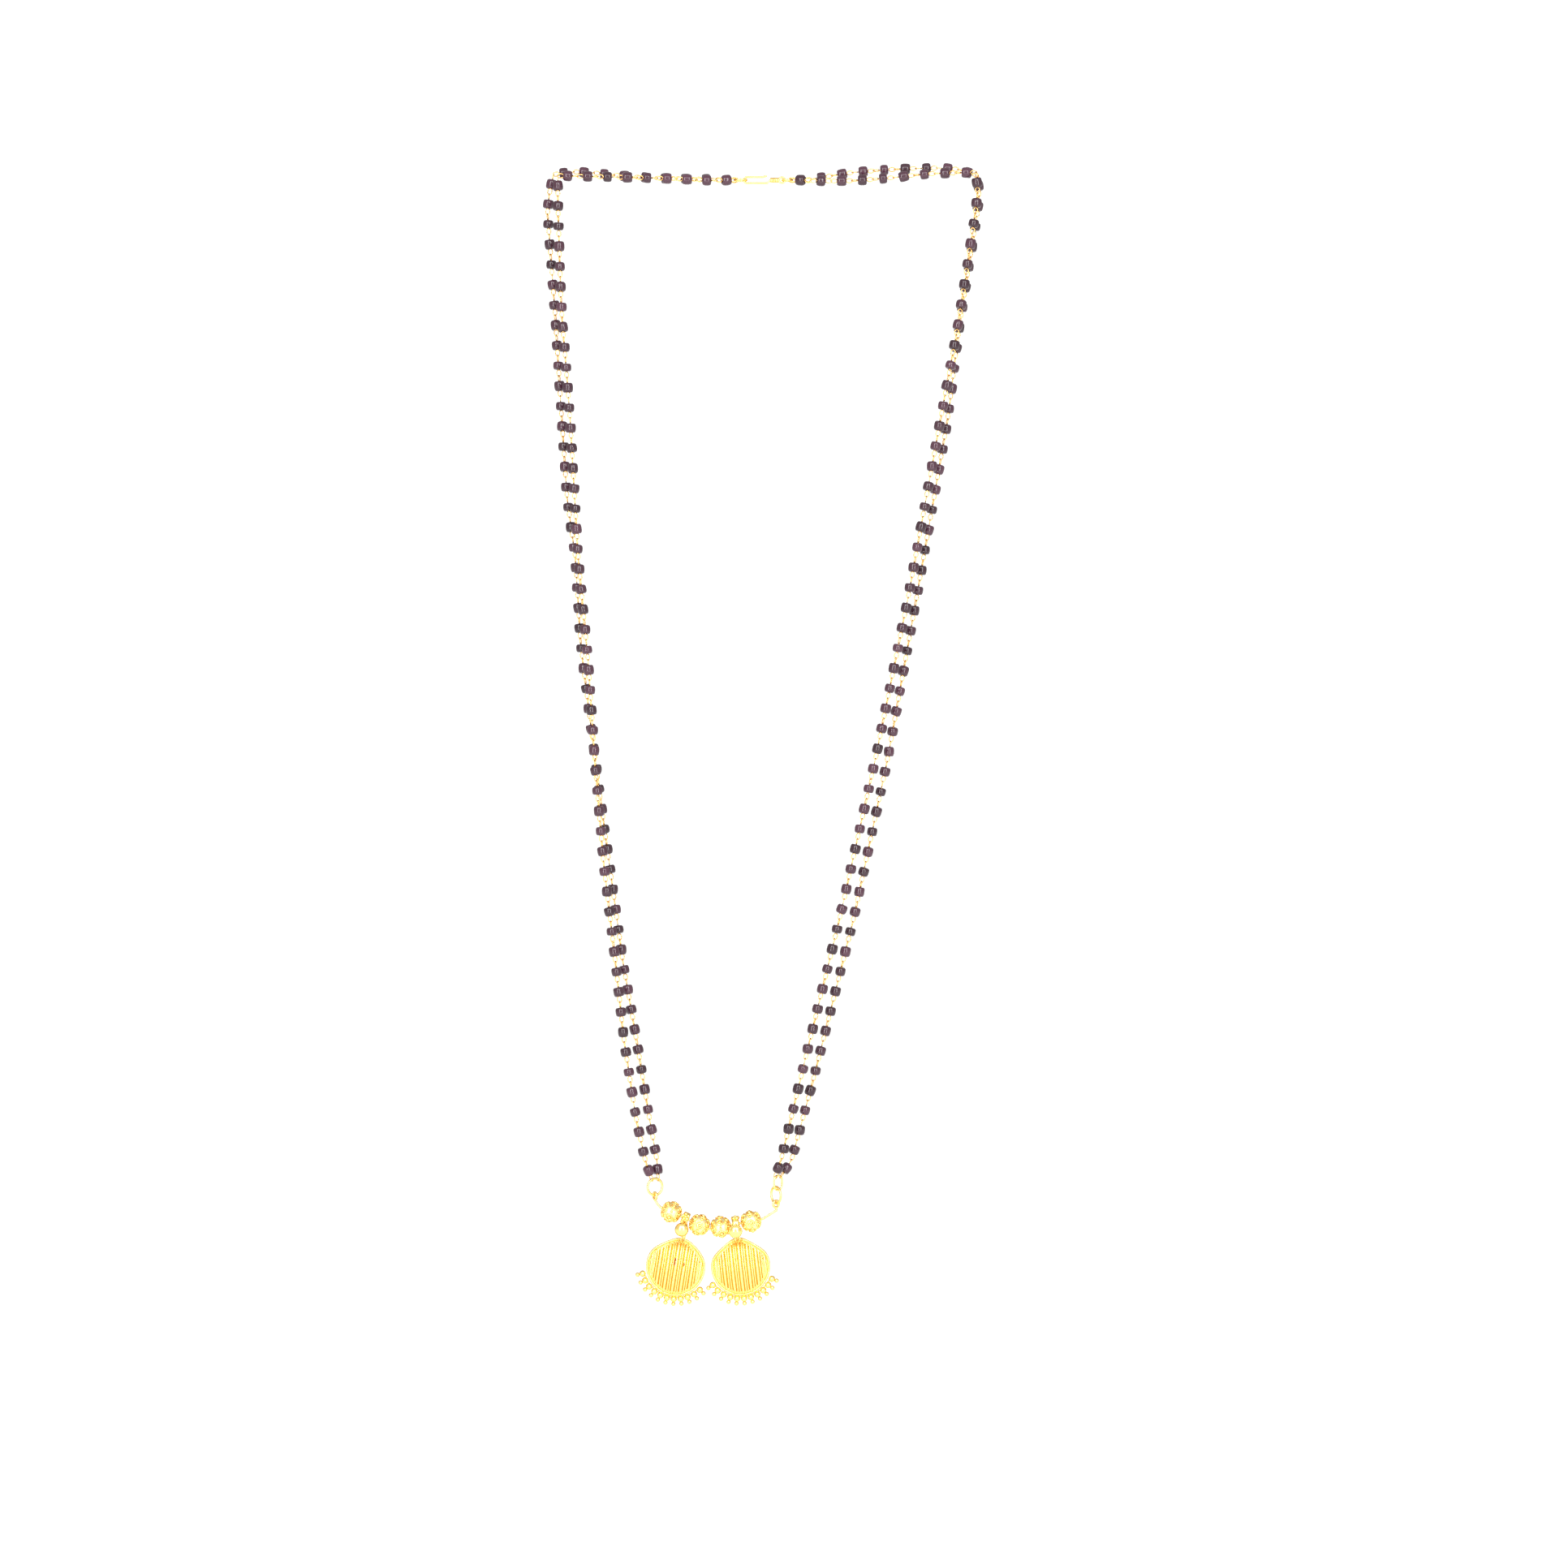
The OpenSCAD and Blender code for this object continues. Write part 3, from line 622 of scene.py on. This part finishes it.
def fused(name, pieces):
    """Solders pieces into one object."""
    with bpy.context.temp_override(active_object=pieces[0], selected_editable_objects=pieces):
        bpy.ops.object.join()
    pieces[0].name = pieces[0].data.name = name
    return pieces[0]


def on_ball(radius, longitude, latitude):
    a, b = math.radians(longitude), math.radians(latitude)
    return radius * Vector((math.cos(b) * math.cos(a), math.cos(b) * math.sin(a), math.sin(b)))


def coil(longitude, latitude, across_coil, grain):
    """Spiral of wire on the ball round a point of it, from the grain in its middle outwards."""
    out = on_ball(1, longitude, latitude)
    side = upright.cross(out).normalized()
    inner, outer = (grain + coil_wire) / 2, (across_coil - coil_wire) / 2
    path = []
    for i in range(coil_steps + 1):
        spread = inner + (outer - inner) * i / coil_steps
        turn = 2 * math.pi * coil_turns * i / coil_steps
        round_out = math.cos(turn) * side + math.sin(turn) * out.cross(side)
        path.append(math.sqrt(coil_ring ** 2 - spread ** 2) * out + spread * round_out)
    return path


satin = gold_finish(
    "satin_gold_sheet", "#fff4c0", "#ffe496", cloud=1.5 * MM, roughness=(0.3, 0.5),
    relief=0.03 * MM,
)
worn_gold = gold_finish(
    "burnished_gold_wire", "#ffe79a", "#fdd576", cloud=1.2 * MM, roughness=(0.16, 0.34),
    relief=0.02 * MM,
)
wire_along_paths, grains_on_points = wire_tree(), grain_tree()
coil_ring = (ball_diameter - coil_wire) / 2
shell = coil_ring - coil_lift * coil_wire
hole_angle = math.asin(ball_hole / 2 / shell)
half_step = 180 / coils_round
for node, (slope, spin) in ball_turns.items():
    threaded = Matrix.Rotation(math.radians(90 - slope), 4, "Y")
    aim = threaded @ Matrix.Rotation(math.radians(spin), 4, "Z")
    place = Matrix.Translation(centre_of(node)) @ aim
    section = []
    for i in range(ball_rows + 1):
        angle = hole_angle + (math.pi - 2 * hole_angle) * i / ball_rows
        section.append((shell * math.sin(angle), shell * math.cos(angle)))
    parts = [turned(node + "_sheet", place, section, sides=32, material=satin)]
    paths, spots = [], []
    for k in range(coils_round):
        at_coil = k * 360 / coils_round
        at_gap = at_coil + half_step
        paths.append((coil(at_coil, 0, broad_coil, broad_coil_grain), coil_wire, False))
        spots.append((on_ball(coil_ring, at_coil, 0), broad_coil_grain))
        spots.append((on_ball(coil_ring, at_gap, 0), gap_grain))
        for end in (-1, 1):
            high = end * small_coil_latitude
            paths.append((coil(at_gap, high, small_coil, small_coil_grain), coil_wire, False))
            spots.append((on_ball(coil_ring, at_gap, high), small_coil_grain))
            spots.append((on_ball(shell, at_coil, end * gap_latitude), gap_grain))
            for longitude in (at_coil, at_gap):
                spots.append((on_ball(shell, longitude, end * end_latitude), end_grain))
    collar = (ball_hole + coil_wire) / 2
    for end in (-1, 1):
        centre = Vector((0, 0, end * shell * math.cos(hole_angle)))
        ring = [collar * level(360 * k / collar_points) + centre for k in range(collar_points)]
        paths.append((ring, coil_wire, True))
    parts.append(wires(node + "_coils", place, paths, sides=8, material=worn_gold))
    parts.append(grains(node + "_grains", place, spots, segments=12, material=worn_gold))
    worn(fused("filigree_" + node, parts), "chain", node)

# Pendants. Two domed bowls of thin gold sheet, each hung by a strap with a round boss and a rolled
# bail with a flower of grains. Broad and fine wires are soldered up the dome, two wires edge it and
# grains hang along its foot. The right boss has a border of grains. The sheet between the ribs is a
# deeper orange, painted shade of the grooves; dark streaks on the left bowl are painted shadows of
# slots, and dark dots on both bowls are painted shadows of pits.
bowl_diameter = 17.3 * MM
bowl_rise = 3.4 * MM
bowl_wall = 0.7 * MM
# How far the bowl's open back lies behind the pivot
bowl_back = 1.48 * MM
bowl_points = 96
rim_wire = 0.75 * MM
rim_inset = 0.3 * rim_wire
rim_depth = -0.42 * rim_wire
rim_lift = 0.15 * rim_wire
sheet_inset = 0.2 * rim_wire
inner_rim_wire = 0.42 * MM
inner_rim_inset = 1.15 * rim_wire
rib_pitch = 2.4 * MM
rib_broad = 0.9 * MM
rib_fine = 0.52 * MM
rib_fine_beside = 0.35 * rib_pitch
ribs_each_side = 4
rib_steps = 18
# How far hand work moves a rib, and the share by which it changes its thickness
rib_stray, rib_swell = 0.05 * MM, 0.08
# The sheet is darker under the ribs, painted shade of the grooves: half the width they cover, and
# the share of the way to the rim
ribbed_half, ribbed_share = 2.7 * rib_pitch, 0.865
boss_diameter = 4.05 * MM
boss_height = 1.1 * MM
boss_rows = 8
# How far the boss's flat back lies ahead of the pivot
boss_ahead = 2.5 * MM
border_grain = 0.46 * MM
border_inset = 0.24 * MM
border_height = 0.2 * MM
stem_radius = 0.21 * boss_diameter
stem_overlap = 0.3 * MM
bail_diameter = 3.7 * MM
bail_hole = 1.8 * MM
bail_width = 2 * MM
bail_softness = 0.25 * MM
strap_width = 1.4 * MM
strap_softness = 0.15 * MM
petals = 5
petal_grain = 1.05 * MM
petal_reach = 0.78 * MM
flower_middle = 1 * MM
large_grain = 1.9 * MM
small_grain = 1.3 * MM
filler_grain = 0.8 * rim_wire
fringe_grains = 11
fringe_angle = 12.4
# The share by which the fringe stands further out towards the bowl's sides
fringe_spread = 0.05
streak_rise = 0.12 * MM
streak_rows = 8
# How far ahead of the dome the streaks lie, as a share of a broad wire's thickness
streak_ahead = 0.42
pit_width = 0.5 * MM
# Outline of a bowl: a circle up to this angle, and from there soft straight shoulders to the tip
bowl_radius = bowl_diameter / 2
shoulder_angle = math.radians(30)
shoulder_softness = 14
tip_height = 0.985 * bowl_radius
tip_half = 0.2 * bowl_radius
dome_radius = (bowl_radius ** 2 + bowl_rise ** 2) / (2 * bowl_rise)
pivots = {joint["child"]: Vector(joint["pos_m"]) for joint in frame["joints"]}
# Each pendant, its angles in degrees. slope: that of the wire in its bail. tip_below, bowl_beside
# and boss_beside: from the pivot. lean: of the tip, from the bowl's middle. shoulder: how far out
# the shoulders reach. boss_above: from the tip. border: grains round the boss. flower_turn: up from
# the front. slot_shadows: dark streaks, painted shadows of slots, each beside and above the bowl's
# middle, its width and its length. pit_shadows: dark dots, painted shadows of pits, each beside and
# above the bowl's middle.
pendants = {
    "pendant_left": {
        "slope": slope_left, "tilt": 9, "tip_below": 6.15 * MM, "bowl_beside": -0.6 * MM,
        "lean": 0.9 * MM, "shoulder": 1.06, "boss_beside": -0.55 * MM, "boss_above": 2.95 * MM,
        "border": 0, "flower_turn": 22, "fringe_turn": -7,
        "slot_shadows": [
            (-0.36 * MM, 1.66 * MM, 0.42 * MM, 2.4 * MM),
            (2.35 * MM, 1.2 * MM, 0.4 * MM, 1.7 * MM),
        ],
        "pit_shadows": [(-6.4 * MM, 4 * MM)],
    },
    "pendant_right": {
        "slope": slope_right, "tilt": -6.5, "tip_below": 4.15 * MM, "bowl_beside": -0.04 * MM,
        "lean": 0, "shoulder": 1.0, "boss_beside": -0.3 * MM, "boss_above": 2.3 * MM,
        "border": 22, "flower_turn": 86, "fringe_turn": -0.4,
        "slot_shadows": [],
        "pit_shadows": [(-6.6 * MM, 3 * MM), (6.8 * MM, 1.7 * MM)],
    },
}


def outline_reach(angle, shape, inset):
    """Way from the bowl's middle to its outline, a circle with soft shoulders, less an inset."""
    lean, shoulder = shape
    way = Vector((math.cos(angle), math.sin(angle)))
    closeness = bowl_radius ** -shoulder_softness
    for side in (-1, 1):
        low = bowl_radius * Vector((side * math.cos(shoulder_angle), math.sin(shoulder_angle)))
        high = Vector((side * tip_half + lean, tip_height))
        normal = Vector((side * (high.y - low.y), side * (low.x - high.x)))
        if way.dot(normal) > 0:
            closeness += (way.dot(normal) / (low.dot(normal) * shoulder)) ** shoulder_softness
    return closeness ** (-1 / shoulder_softness) - inset


def on_dome(x, z, sunk=0):
    """Point of the dome, or of its lining sunk by the wall, at x and z. The open back has y 0."""
    radius = dome_radius - sunk
    return Vector((x, dome_radius - bowl_rise - math.sqrt(radius ** 2 - x ** 2 - z ** 2), z))


def edge_wire(shape, inset, depth=None):
    """Closed path inside the outline, on the dome or, given a depth, no further back than that."""
    path = []
    for i in range(bowl_points):
        angle = 2 * math.pi * i / bowl_points
        reach = outline_reach(angle, shape, inset)
        spot = on_dome(reach * math.cos(angle), reach * math.sin(angle))
        if depth is not None:
            spot.y = min(depth, spot.y - rim_lift)
        path.append(spot)
    return path


def bowl_sheet(name, place, shape, ribbed, bare):
    """Domed sheet and lining as one solid, of one material under the ribs, painted with the
    grooves' shade, and one round them.
    """
    shares = [0, 0.12, 0.24, 0.36, 0.48, 0.6, 0.7, 0.78, ribbed_share, 0.93, 1]
    work = bmesh.new()
    rows = []
    for sunk, row_shares in ((0, shares), (bowl_wall, shares[::-1])):
        for share in row_shares:
            row = []
            for i in range(bowl_points if share else 1):
                angle = 2 * math.pi * i / bowl_points
                reach = outline_reach(angle, shape, sheet_inset) * share
                spot = on_dome(reach * math.cos(angle), reach * math.sin(angle), sunk)
                spot.y = min(spot.y, 0)
                row.append(work.verts.new(spot))
            rows.append(row)
    skin_between(work, rows)
    work.verts.index_update()
    first_bare = rows[shares.index(ribbed_share)][0].index
    for face in work.faces:
        beside = abs(face.calc_center_median().x) > ribbed_half
        face.material_index = int(beside or min(vert.index for vert in face.verts) >= first_bare)
    made = closed_solid(name, place, work, ribbed)
    made.data.materials.append(bare)
    return made


def by_hand(step, offset):
    """Number from -1 to 1 that follows no pattern from rib to rib, as they are laid by hand."""
    return math.sin(12.9 * step + 40 * offset / rib_pitch)


def rib_wires(shape):
    """Broad wire at each step of the pitch, with a fine one on either side, cut to the outline."""
    inset = rim_wire + inner_rim_wire / 2
    trim = 0.05 * MM
    trio = [(0, rib_broad), (rib_fine_beside, rib_fine), (-rib_fine_beside, rib_fine)]
    paths = []
    for step in range(-ribs_each_side, ribs_each_side + 1):
        for offset, thick in trio:
            askew = by_hand(step, offset)
            x = step * rib_pitch + offset + rib_stray * askew
            if abs(x) > bowl_radius - inset - rib_fine / 2:
                continue
            ends = []
            for side in (-1, 1):
                z = 0
                while math.hypot(x, z) < outline_reach(math.atan2(z, x), shape, inset):
                    z += side * trim
                ends.append(z)
            low, high = ends
            path = [on_dome(x, low + (high - low) * i / rib_steps) for i in range(rib_steps + 1)]
            paths.append((path, thick * (1 + rib_swell * askew), False))
    return paths


def fringe_spots(fringe_turn):
    """Grains along the bowl's foot: a large one with a small one below it, and fillers between."""
    # Solder draws the grains a little into the rim and into each other
    large_reach = bowl_radius + 0.2 * rim_wire + 0.42 * large_grain
    small_reach = large_reach + 0.46 * (large_grain + small_grain)
    filler_reach = bowl_radius + 0.45 * rim_wire
    spots = []
    for i in range(fringe_grains):
        angle = fringe_turn + (i - (fringe_grains - 1) / 2) * fringe_angle
        group = [(angle, large_reach, large_grain), (angle, small_reach, small_grain)]
        if i:
            group.append((angle - fringe_angle / 2, filler_reach, filler_grain))
        for turn, reach, size in group:
            out = Vector((math.sin(math.radians(turn)), 0, -math.cos(math.radians(turn))))
            spot = out * reach * (1 + fringe_spread * out.x ** 2) - deep * rim_wire / 2
            spots.append((spot, size))
    return spots


def bail_section():
    """Section of the rolled band: its hole, its width and its softened edges."""
    outer, inner, half, soft = bail_diameter / 2, bail_hole / 2, bail_width / 2, bail_softness
    return [
        (inner, soft - half), (inner + soft, -half), (outer - soft, -half), (outer, soft - half),
        (outer, half - soft), (outer - soft, half), (inner + soft, half), (inner, half - soft),
    ]


def strap(name, place, tip_drop, material):
    """Strap from the bail to the tip of the bowl, drawn from the side and cut from thick sheet."""
    top_half, top_drop = 0.2 * bail_diameter, -0.42 * bail_diameter
    back, front = bowl_back - 0.15 * MM, bowl_back - 1.2 * MM
    foot = tip_drop - 0.9 * MM
    side = [
        (-top_half, top_drop), (top_half, top_drop), (back, tip_drop + 0.4 * MM), (back, foot),
        (front, foot),
    ]
    work = bmesh.new()
    rows = [
        [work.verts.new((half, y, z)) for y, z in side]
        for half in (-strap_width / 2, strap_width / 2)
    ]
    skin_between(work, rows)
    for row in rows:
        work.faces.new(row)
    bmesh.ops.bevel(
        work, geom=work.edges[:], offset=strap_softness, segments=2, affect="EDGES"
    )
    return closed_solid(name, place, work, material)


def boss_section():
    """Section of the boss: a flat back and a shallow dome."""
    radius = boss_diameter / 2
    cap = (boss_diameter ** 2 / 4 + boss_height ** 2) / (2 * boss_height)
    section = [(0, 0)]
    for r in (radius * (1 - i / boss_rows) for i in range(boss_rows + 1)):
        section.append((r, boss_height - cap + math.sqrt(cap ** 2 - r ** 2)))
    return section


def border_spots(count):
    """Grains round the edge of the boss."""
    reach = boss_diameter / 2 - border_inset
    return [
        (reach * level(360 * k / count) + upright * border_height, border_grain)
        for k in range(count)
    ]


def flower_spots():
    """Grains on the front of the bail: one ahead in the middle, and petals round it."""
    spots = [((0, -0.58 * bail_diameter, 0), flower_middle)]
    for k in range(petals):
        spot = petal_reach * level(360 * k / petals + 90)
        spots.append(((spot.x, -0.5 * bail_diameter, spot.y), petal_grain))
    return spots


# Painted shade: a deeper orange gold for the sheet between the ribs and in the pits, where shade
# falls in the grooves and hollows
between_ribs = gold_finish(
    "pickled_gold_sheet", "#f8a83a", "#e88a22", cloud=1.5 * MM, roughness=(0.38, 0.6),
    relief=0.03 * MM,
)
# Painted shadow: a dark red-brown for the shade inside slots in the left bowl's wall, set on the
# dome as streaks
burnt_flux = new_material("burnt_flux", Base_Color=linear("#8a3a10"), Roughness=0.7)[0]
facing_front = Matrix.Rotation(math.pi / 2, 4, "X")
streak_turns = [math.pi * i / streak_rows for i in range(1, streak_rows)]
streak_section = [(0, 1)] + [(math.sin(a), math.cos(a)) for a in streak_turns] + [(0, -1)]
stem_half = boss_ahead / 2 + stem_overlap
stem_section = [
    (0, -stem_half), (stem_radius, -stem_half), (stem_radius, stem_half), (0, stem_half),
]
for node, form in pendants.items():
    shape = (form["lean"], form["shoulder"])
    tip_drop = -form["tip_below"]
    hung = Matrix.Translation(pivots[node]) @ Matrix.Rotation(math.radians(form["tilt"]), 4, "Y")
    bowl = hung @ Matrix.Translation((form["bowl_beside"], bowl_back, tip_drop - tip_height))
    parts = [bowl_sheet(node + "_bowl", bowl, shape, between_ribs, satin)]
    paths = [
        (edge_wire(shape, rim_inset, rim_depth), rim_wire, True),
        (edge_wire(shape, inner_rim_inset), inner_rim_wire, True),
    ]
    paths += rib_wires(shape)
    parts.append(wires(node + "_ribs", bowl, paths, sides=10, material=worn_gold))
    fringe = fringe_spots(form["fringe_turn"])
    parts.append(grains(node + "_fringe", bowl, fringe, segments=16, material=worn_gold))

    threaded = Matrix.Rotation(math.radians(90 - form["slope"]), 4, "Y")
    bail = Matrix.Translation(pivots[node]) @ threaded
    parts.append(turned(node + "_bail", bail, bail_section(), sides=36, material=worn_gold))
    over_tip = hung @ Matrix.Translation((form["bowl_beside"] + form["lean"], 0, 0))
    parts.append(strap(node + "_strap", over_tip, tip_drop, satin))

    beside, height = form["boss_beside"], form["boss_above"] + tip_drop
    boss = hung @ Matrix.Translation((beside, -boss_ahead, height)) @ facing_front
    parts.append(turned(node + "_boss", boss, boss_section(), sides=32, material=worn_gold))
    if form["border"]:
        border = border_spots(form["border"])
        parts.append(grains(node + "_boss_border", boss, border, segments=8, material=worn_gold))
    stem = hung @ Matrix.Translation((beside / 2, -boss_ahead / 2, height)) @ facing_front
    parts.append(turned(node + "_stem", stem, stem_section, sides=20, material=satin))

    flower = hung @ Matrix.Rotation(math.radians(-form["flower_turn"]), 4, "X")
    parts.append(
        grains(node + "_flower", flower, flower_spots(), segments=12, material=worn_gold)
    )
    # Painted shadows of slots: dark streaks just ahead of the dome where the slots' depth is in
    # shade
    for x, z, wide, long in form["slot_shadows"]:
        spot = on_dome(x, z) - deep * rib_broad * streak_ahead
        stretched = Matrix.Diagonal((wide / 2, streak_rise, long / 2, 1))
        streak = bowl @ Matrix.Translation(spot) @ stretched
        parts.append(
            turned(node + "_flux", streak, streak_section, sides=12, material=burnt_flux)
        )
    # A pit shows as a dark dot and no more, so its shade is painted: a grain of the painted recess
    # shade, sunk to its middle
    if form["pit_shadows"]:
        spots = [(on_dome(x, z), pit_width) for x, z in form["pit_shadows"]]
        parts.append(grains(node + "_pits", bowl, spots, segments=8, material=between_ribs))
    worn(fused("bowl_" + node, parts), node, node)

# Studio. A pale paper floor below the hanging necklace, a white surround that is dimmer behind it,
# and soft white lights: a broad one above and a narrow upright one on either side of the camera,
# which leave the upright streaks on the beads.
floor_half, floor_drop = 6, 0.1
low, high = cad_bounds
work = bmesh.new()
bmesh.ops.create_grid(work, x_segments=1, y_segments=1, size=floor_half)
work.transform(Matrix.Translation((0, 0, low.z - floor_drop)))
floor = mesh_object("floor", work)
paper = new_material("matt_white_paper", Base_Color=linear("#f6f6f4"), Roughness=0.9)[0]
floor.data.materials.append(paper)

world = bpy.data.worlds.new("white_surround")
bpy.context.scene.world = world
world.use_nodes = True
tree = world.node_tree
surround_strength = 1.25
surround = tree.nodes["Background"]
surround.inputs["Color"].default_value = linear("#ffffff")
surround.inputs["Strength"].default_value = surround_strength
# The gold and the glass mirror a dimmer surround, 0.95 in front and down to 0.66 behind
directions = add(tree, "ShaderNodeTexCoord").outputs["Generated"]
way = add(tree, "ShaderNodeSeparateXYZ", {0: directions})
behind = add(tree, "ShaderNodeMapRange", {
    "Value": way.outputs["Y"], "From Min": -0.3, "From Max": 0.7, "To Min": 0.95, "To Max": 0.66,
})
mirrored = add(tree, "ShaderNodeBackground", {"Color": linear("#f4f2f0"), "Strength": behind})
ray = add(tree, "ShaderNodeLightPath")
either = add(tree, "ShaderNodeMixShader", {
    0: ray.outputs["Is Glossy Ray"], 1: surround, 2: mirrored,
})
tree.links.new(either.outputs[0], tree.nodes["World Output"].inputs["Surface"])

# Each light: place, width and height in metres, and how bright its face is against white
lights = {
    "top_softbox": ((0, -1.2, 0.65), 1.5, 0.6, 2.8),
    "left_softbox": ((-0.5, -1.05, -0.15), 0.16, 1.8, 13),
    "right_softbox": ((0.52, -1.05, -0.15), 0.16, 1.8, 13),
}
for name, (spot, wide, tall, bright) in lights.items():
    data = bpy.data.lights.new(name, "AREA")
    data.shape = "RECTANGLE"
    data.size, data.size_y = wide, tall
    data.energy = bright * math.pi * wide * tall
    lamp = new_object(name, data)
    lamp.location = spot
    lamp.rotation_euler = ((low + high) / 2 - Vector(spot)).to_track_quat("-Z", "Y").to_euler()
bpy.context.scene.view_settings.view_transform = "Standard"
